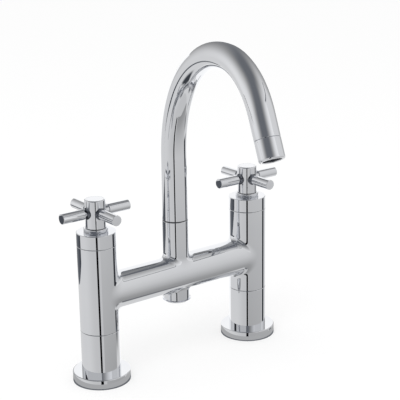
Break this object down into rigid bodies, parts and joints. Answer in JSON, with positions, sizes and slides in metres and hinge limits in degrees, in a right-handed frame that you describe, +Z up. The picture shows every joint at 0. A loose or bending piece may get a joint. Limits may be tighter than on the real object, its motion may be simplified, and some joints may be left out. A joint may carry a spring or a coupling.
{
  "type": "two-handle bath faucet",
  "caption": "Deck-mounted bridge bath faucet: pillars joined by a round bridge, cross handles with turning valves, and a tall swan-neck spout that swivels on the riser.",
  "frame": {"origin": "on the deck, midway between the two inlet sockets", "axes": "+X along the bridge from the left pillar to the right one, +Z up, and the bather stands towards -Y"},
  "size_m": [0.252, 0.2351, 0.3275],
  "materials": {
    "chrome_plate": "polished chrome plate",
    "brass": "machined brass",
    "rubber": "black rubber",
    "ceramic": "lapped white ceramic",
    "stainless_steel": "bright stainless steel",
    "acetal": "dark acetal resin"
  },
  "bodies": {
    "body": {"bridge_body": "chrome_plate", "blanking_plug": "brass", "blanking_plug_oring": "rubber", "spout_bush": "acetal", "grub_screw": "stainless_steel", "left_leg": "chrome_plate", "left_base_flange": "chrome_plate", "left_leg_oring": "rubber", "left_deck_gasket": "rubber", "left_valve_body": "brass", "left_valve_body_oring": "rubber", "left_seat_seal": "rubber", "left_fixed_disc": "ceramic", "left_shroud": "chrome_plate", "left_shroud_collar": "chrome_plate", "right_leg": "chrome_plate", "right_base_flange": "chrome_plate", "right_leg_oring": "rubber", "right_deck_gasket": "rubber", "right_valve_body": "brass", "right_valve_body_oring": "rubber", "right_seat_seal": "rubber", "right_fixed_disc": "ceramic", "right_shroud": "chrome_plate", "right_shroud_collar": "chrome_plate"},
    "left_handle": {"left_handle_hub": "chrome_plate", "left_spindle": "brass", "left_turning_disc": "ceramic", "left_spindle_orings": "rubber", "left_handle_screw": "stainless_steel", "left_index_cap": "chrome_plate", "left_spindle_clip": "stainless_steel", "left_handle_arm_right": "chrome_plate", "left_handle_arm_back": "chrome_plate", "left_handle_arm_left": "chrome_plate", "left_handle_arm_front": "chrome_plate"},
    "right_handle": {"right_handle_hub": "chrome_plate", "right_spindle": "brass", "right_turning_disc": "ceramic", "right_spindle_orings": "rubber", "right_handle_screw": "stainless_steel", "right_index_cap": "chrome_plate", "right_spindle_clip": "stainless_steel", "right_handle_arm_right": "chrome_plate", "right_handle_arm_back": "chrome_plate", "right_handle_arm_left": "chrome_plate", "right_handle_arm_front": "chrome_plate"},
    "spout": {"spout_tube": "chrome_plate", "spout_nozzle": "chrome_plate", "spout_spigot": "brass", "spout_orings": "rubber", "aerator_cage": "acetal", "aerator_screens": "stainless_steel", "aerator_washer": "rubber"}
  },
  "joints": [
    {"name": "left_handle_turn", "type": "hinge", "parent": "body", "child": "left_handle", "pos_m": [-0.09, 0, 0.1664], "axis": [0, 0, 1], "range_deg": [0, 90]},
    {"name": "right_handle_turn", "type": "hinge", "parent": "body", "child": "right_handle", "pos_m": [0.09, 0, 0.1664], "axis": [0, 0, 1], "range_deg": [-90, 0]},
    {"name": "spout_swivel", "type": "hinge", "parent": "body", "child": "spout", "pos_m": [0, 0, 0.141], "axis": [0, 0, 1], "continuous": true}
  ]
}
